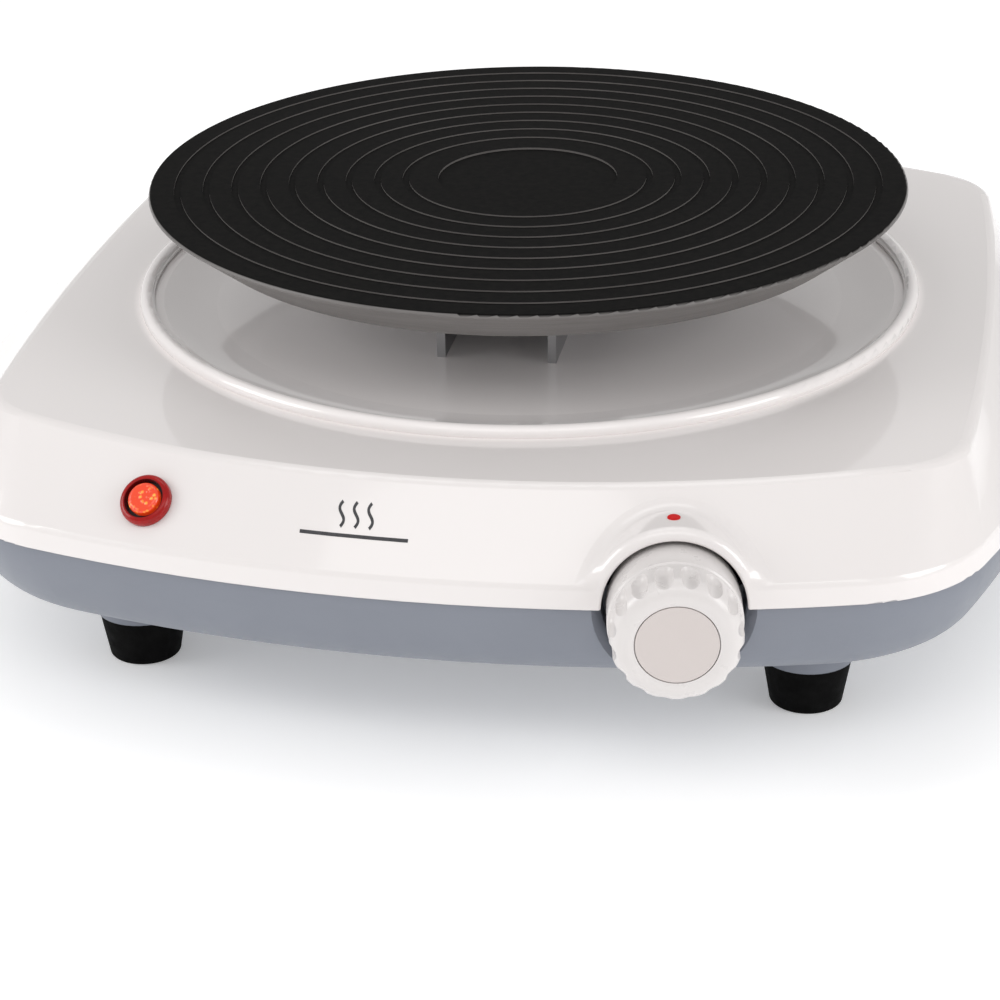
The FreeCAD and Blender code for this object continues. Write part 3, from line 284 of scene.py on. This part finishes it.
def red_with_shaded_ring(name, color):
    """Gloss red moulding with painted shade: the sunk ring round the lens is painted dark."""
    s = Shader(name, color, 0.16, coat_weight=0.15, coat_roughness=0.05, specular_ior_level=0.25)
    offset = s.add("ShaderNodeVectorMath", operation="SUBTRACT")
    s.link(s.coordinates, offset.inputs[0])
    offset.inputs[1].default_value = LAMP_PLACE
    along = s.add("ShaderNodeVectorMath", operation="DOT_PRODUCT")
    s.link(offset.outputs[0], along.inputs[0])
    along.inputs[1].default_value = LAMP_AXIS
    length = s.add("ShaderNodeVectorMath", operation="LENGTH")
    s.link(offset.outputs[0], length.inputs[0])
    whole = s.math("POWER", length.outputs["Value"], 2.0)
    squares = s.math("SUBTRACT", whole, s.math("POWER", along.outputs["Value"], 2.0))
    away = s.math("SQRT", s.math("MAXIMUM", squares, 0.0))
    # Painted shade: near black in the sunk groove round the lens, where shade falls.
    groove_shade = s.span(away, 1.0, 0.0, RING_SHADE_R, RING_RED_R)
    tone = s.mix(s.span(s.noise(700.0), 0.0, 1.0), tinted(color, 0.8), color)
    s.color(s.mix(groove_shade, tone, (0.012, 0.002, 0.003)))
    s.rough(s.span(s.noise(140.0, 4.0), 0.12, 0.2))
    s.bump(s.noise(700.0, 3.0), 0.2, 0.00002)
    return s.material


def clear_glass(name, color):
    s = Shader(name, color, 0.05, transmission_weight=0.9)
    s.rough(s.span(s.noise(300.0), 0.03, 0.10))
    return s.material


def braided(name, color):
    """Woven glass-fibre sleeving on an internal lead."""
    s = Shader(name, color, 0.7)
    weave = s.add("ShaderNodeTexWave", wave_type="BANDS", bands_direction="DIAGONAL")
    weave.inputs["Scale"].default_value = 420.0
    weave.inputs["Distortion"].default_value = 1.5
    s.link(s.coordinates, weave.inputs["Vector"])
    s.color(s.mix(weave.outputs["Fac"], tinted(color, 0.6), tinted(color, 1.25)))
    s.bump(weave.outputs["Fac"], 0.6, 0.0002)
    return s.material


def make_materials():
    return {
        "enamel_white": enamel("enamel_white", (0.80, 0.765, 0.755)),
        "tray_grey": moulded("tray_grey", (0.212, 0.229, 0.270), 0.42),
        "cast_iron_black": cast_iron("cast_iron_black", (0.02, 0.02, 0.02)),
        "sheet_steel": rolled_metal("sheet_steel", (0.42, 0.42, 0.43), 0.38),
        "aluminium_sheet": rolled_metal("aluminium_sheet", (0.72, 0.73, 0.74), 0.34),
        "element_sheath": rolled_metal("element_sheath", (0.14, 0.12, 0.11), 0.5, spots=0.35),
        "magnesia": moulded("magnesia", (0.60, 0.57, 0.50), 0.85, 1400.0, 0.0002),
        "ceramic_white": moulded("ceramic_white", (0.74, 0.72, 0.66), 0.25, 900.0, 0.00003),
        "phenolic_brown": moulded("phenolic_brown", (0.055, 0.028, 0.018), 0.35),
        "brass_plain": rolled_metal("brass_plain", (0.68, 0.46, 0.16), 0.3),
        "screw_zinc": rolled_metal("screw_zinc", (0.58, 0.58, 0.60), 0.3, (1.0, 1.0, 12.0)),
        "knob_white": moulded(
            "knob_white", (0.72, 0.69, 0.68), 0.3, 2200.0, 0.00002, 0.03,
            coat_weight=0.3, coat_roughness=0.12,
        ),
        "knob_disc_cream": moulded("knob_disc_cream", (0.63, 0.575, 0.555), 0.42, 2600.0, 0.00003, 0.03),
        "bezel_red": red_with_shaded_ring("bezel_red", (0.36, 0.004, 0.004)),
        "lens_orange": lens_plastic("lens_orange", (0.9, 0.2, 0.03), 0.5),
        "bulb_glass": clear_glass("bulb_glass", (0.95, 0.9, 0.85)),
        "dot_red": moulded(
            "dot_red", (0.60, 0.004, 0.004), 0.35, 900.0, 0.00003, specular_ior_level=0.2,
        ),
        "rubber_black": rubber("rubber_black", (0.003, 0.003, 0.003)),
        "gland_black": rubber("gland_black", (0.022, 0.022, 0.023)),
        "block_nylon": moulded("block_nylon", (0.62, 0.60, 0.53), 0.5),
        "lead_brown": braided("lead_brown", (0.11, 0.045, 0.02)),
        "lead_blue": braided("lead_blue", (0.02, 0.06, 0.25)),
        "lead_green": braided("lead_green", (0.05, 0.24, 0.05)),
        "spring_steel": rolled_metal("spring_steel", (0.30, 0.31, 0.34), 0.32),
    }


def dress_nodes(materials):
    slot_of = {part["node"]: part["material_slot"] for part in frame["record"]["subparts"]}
    for name, node in nodes.items():
        node.data.materials.clear()
        node.data.materials.append(materials[slot_of[name]])


# ---- printed mark on the apron: three rising strokes over a rule, for heat ----

MARK_CENTRE = (-0.0165, 0.0563)
MARK_LENGTH = 0.024
MARK_STEPS = 24
RULE_DROP = 0.0022
WAVE_PITCH = 0.0032
WAVE_DROP = 0.0008
WAVE_HEIGHT = 0.0042
WAVE_SWAY = 0.0006
STROKE = 0.0006
PRINT_PROUD = 0.00004
CAST_FROM_Y = -0.3


def stroke_outline(points, width):
    """Both sides of a ribbon that follows points in the XZ plane."""
    left = []
    right = []
    for k, (x, z) in enumerate(points):
        x0, z0 = points[max(k - 1, 0)]
        x1, z1 = points[min(k + 1, len(points) - 1)]
        length = math.hypot(x1 - x0, z1 - z0)
        normal = (-(z1 - z0) / length, (x1 - x0) / length)
        left.append((x + normal[0] * width / 2, z + normal[1] * width / 2))
        right.append((x - normal[0] * width / 2, z - normal[1] * width / 2))
    return left, right


def mark_strokes():
    centre_x, centre_z = MARK_CENTRE
    shares = [k / MARK_STEPS for k in range(MARK_STEPS + 1)]
    rule_z = centre_z - RULE_DROP
    wave_z = centre_z - WAVE_DROP
    strokes = [[(centre_x + MARK_LENGTH * (share - 0.5), rule_z) for share in shares]]
    for side in (-1, 0, 1):
        wave = []
        for share in shares:
            sway = WAVE_SWAY * math.sin(2 * math.pi * share)
            wave.append((centre_x + side * WAVE_PITCH + sway, wave_z + WAVE_HEIGHT * share))
        strokes.append(wave)
    return strokes


def make_mark(housing):
    """Thin printed ribbons laid on the apron's surface."""
    mesh = bmesh.new()
    for points in mark_strokes():
        sides = []
        for side in stroke_outline(points, STROKE):
            row = []
            for x, z in side:
                start = Vector((x, CAST_FROM_Y, z))
                place, normal = housing.ray_cast(start, Vector((0, 1, 0)))[1:3]
                row.append(mesh.verts.new(place + normal * PRINT_PROUD))
            sides.append(row)
        left, right = sides
        for k in range(len(left) - 1):
            mesh.faces.new((left[k], left[k + 1], right[k + 1], right[k]))
    data = bpy.data.meshes.new("apron_mark")
    mesh.normal_update()
    mesh.to_mesh(data)
    mesh.free()
    mark = bpy.data.objects.new("apron_mark", data)
    bpy.context.scene.collection.objects.link(mark)
    ink = Shader("print_ink", (0.035, 0.035, 0.04), 0.4)
    ink.rough(ink.span(ink.noise(900.0), 0.32, 0.5))
    ink.color(ink.mix(ink.span(ink.noise(1600.0), 0.0, 1.0), (0.028, 0.028, 0.032), (0.05, 0.05, 0.055)))
    data.materials.append(ink.material)
    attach(mark, "root")


# ---- stage: floor and light ----

FLOOR_REACH = 6.0
FLOOR_GLOW = 0.25
WHITE = (1.0, 1.0, 1.0, 1.0)
WORLD_STRENGTH = 0.63
LIGHT_TARGET = (0, 0, 0.05)


def make_floor():
    s = Shader("floor", (0.97, 0.97, 0.97), 0.6, emission_color=WHITE, emission_strength=FLOOR_GLOW)
    s.rough(s.span(s.noise(4.0), 0.55, 0.65))
    mesh = bmesh.new()
    corners = []
    for x, y in ((-1, -1), (1, -1), (1, 1), (-1, 1)):
        corners.append(mesh.verts.new((x * FLOOR_REACH, y * FLOOR_REACH, 0)))
    mesh.faces.new(corners)
    data = bpy.data.meshes.new("floor")
    mesh.to_mesh(data)
    mesh.free()
    floor = bpy.data.objects.new("floor", data)
    data.materials.append(s.material)
    bpy.context.scene.collection.objects.link(floor)


def softbox(name, place, width, height, power):
    """Rectangular light that faces the part: its place, its size in metres and its watts."""
    data = bpy.data.lights.new(name, "AREA")
    data.shape = "RECTANGLE"
    data.size = width
    data.size_y = height
    data.energy = power
    light = bpy.data.objects.new(name, data)
    direction = Vector(LIGHT_TARGET) - Vector(place)
    turn = direction.to_track_quat("-Z", "Y").to_matrix().to_4x4()
    light.matrix_world = Matrix.Translation(place) @ turn
    bpy.context.scene.collection.objects.link(light)


def make_light():
    world = bpy.data.worlds.new("studio")
    world.use_nodes = True
    background = world.node_tree.nodes["Background"]
    background.inputs["Color"].default_value = (1.0, 0.99, 0.985, 1.0)
    background.inputs["Strength"].default_value = WORLD_STRENGTH
    bpy.context.scene.world = world
    softbox("front", (0.1, -0.95, 1.15), 1.2, 0.5, 2.4)
    softbox("left", (-1.4, -0.5, 0.7), 0.8, 0.8, 7.9)
    softbox("right", (1.4, -0.5, 0.7), 0.8, 0.8, 7.4)
    softbox("top", (-0.1, 0.25, 1.3), 0.9, 0.35, 1.2)
    bpy.context.scene.view_settings.view_transform = "Standard"


materials = make_materials()
dress_nodes(materials)
make_mark(nodes["top_housing"])
make_floor()
make_light()
make_camera()
